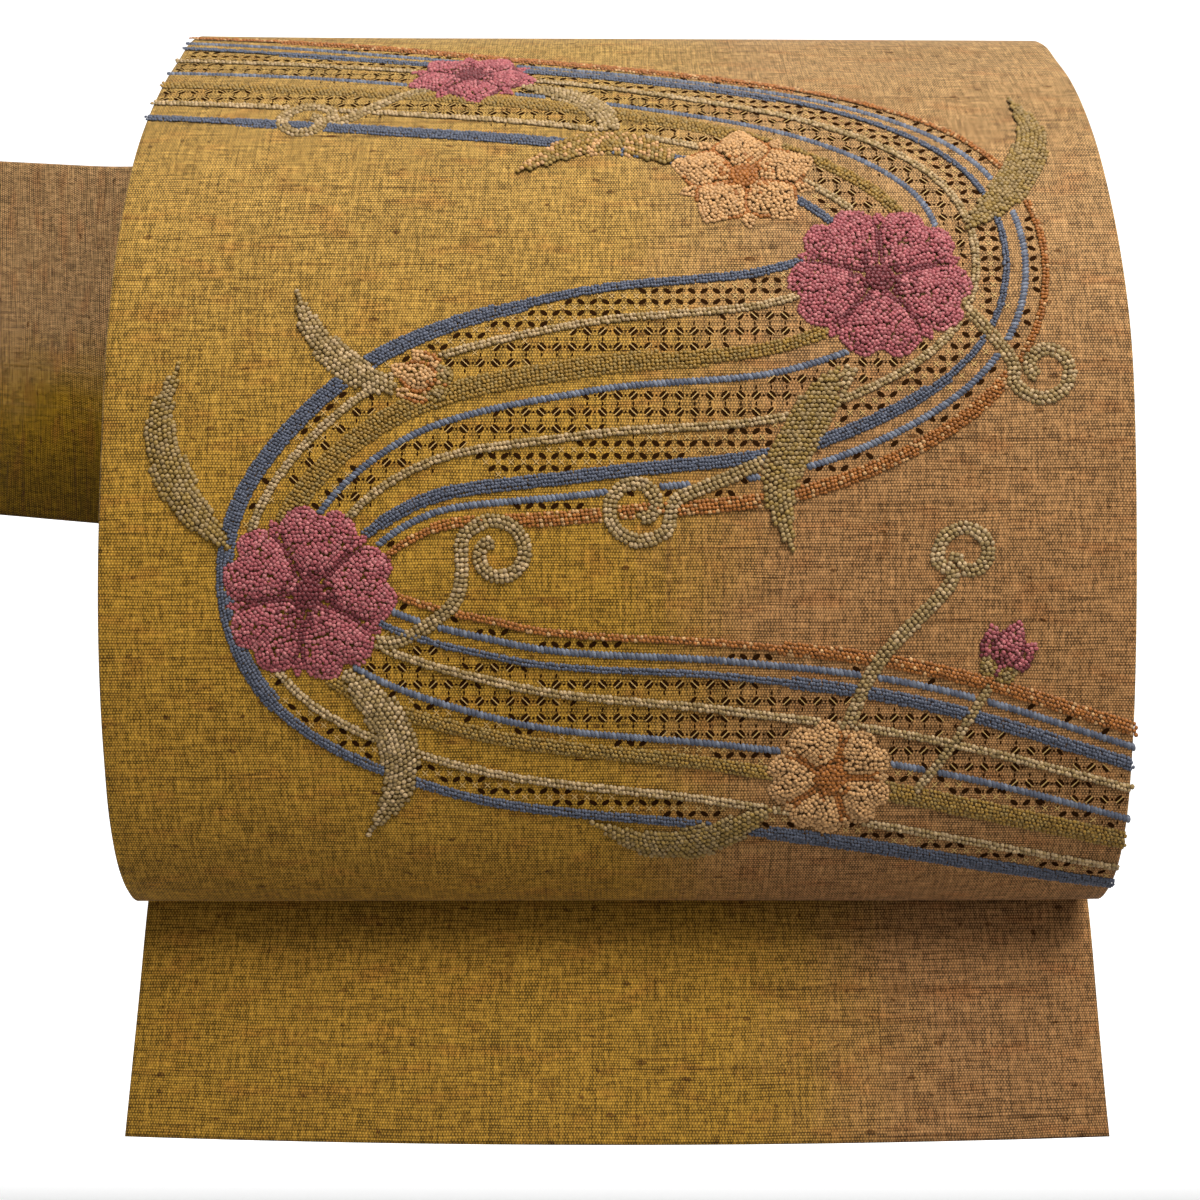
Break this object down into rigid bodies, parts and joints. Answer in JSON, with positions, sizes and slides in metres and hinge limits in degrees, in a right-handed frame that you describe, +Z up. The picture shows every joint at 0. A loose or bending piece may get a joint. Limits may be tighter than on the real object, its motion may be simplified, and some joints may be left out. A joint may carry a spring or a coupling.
{
  "type": "obi sash tied as a drum",
  "caption": "Wide lined silk sash tied as a drum: a deep rounded panel over a hanging end, a half-width free end to the left, and a folded band round the waist.",
  "frame": {"origin": "middle of the waist that the band goes round, halfway up the band", "axes": "+Z up the wearer, +X to the right seen from behind the wearer, -Y out of the wearer's back, the way the drum stands out"},
  "size_m": [0.4788, 0.4364, 0.3809],
  "materials": {
    "drum_panel": "semi-matte slub silk, dyed from ochre to pinkish tan, embroidered",
    "drum_back": "semi-matte slub silk",
    "inner_fold": "semi-matte slub silk",
    "tare": "semi-matte slub silk, dyed from ochre to pinkish tan",
    "te": "semi-matte slub silk, dyed from pinkish tan to ochre",
    "waist_wrap_outer": "semi-matte slub silk",
    "waist_wrap_inner": "semi-matte slub silk"
  },
  "bodies": {
    "root": {"drum_panel": "drum_panel", "drum_back": "drum_back", "inner_fold": "inner_fold", "tare": "tare", "te": "te", "waist_wrap_outer": "waist_wrap_outer", "waist_wrap_inner": "waist_wrap_inner"}
  },
  "joints": []
}
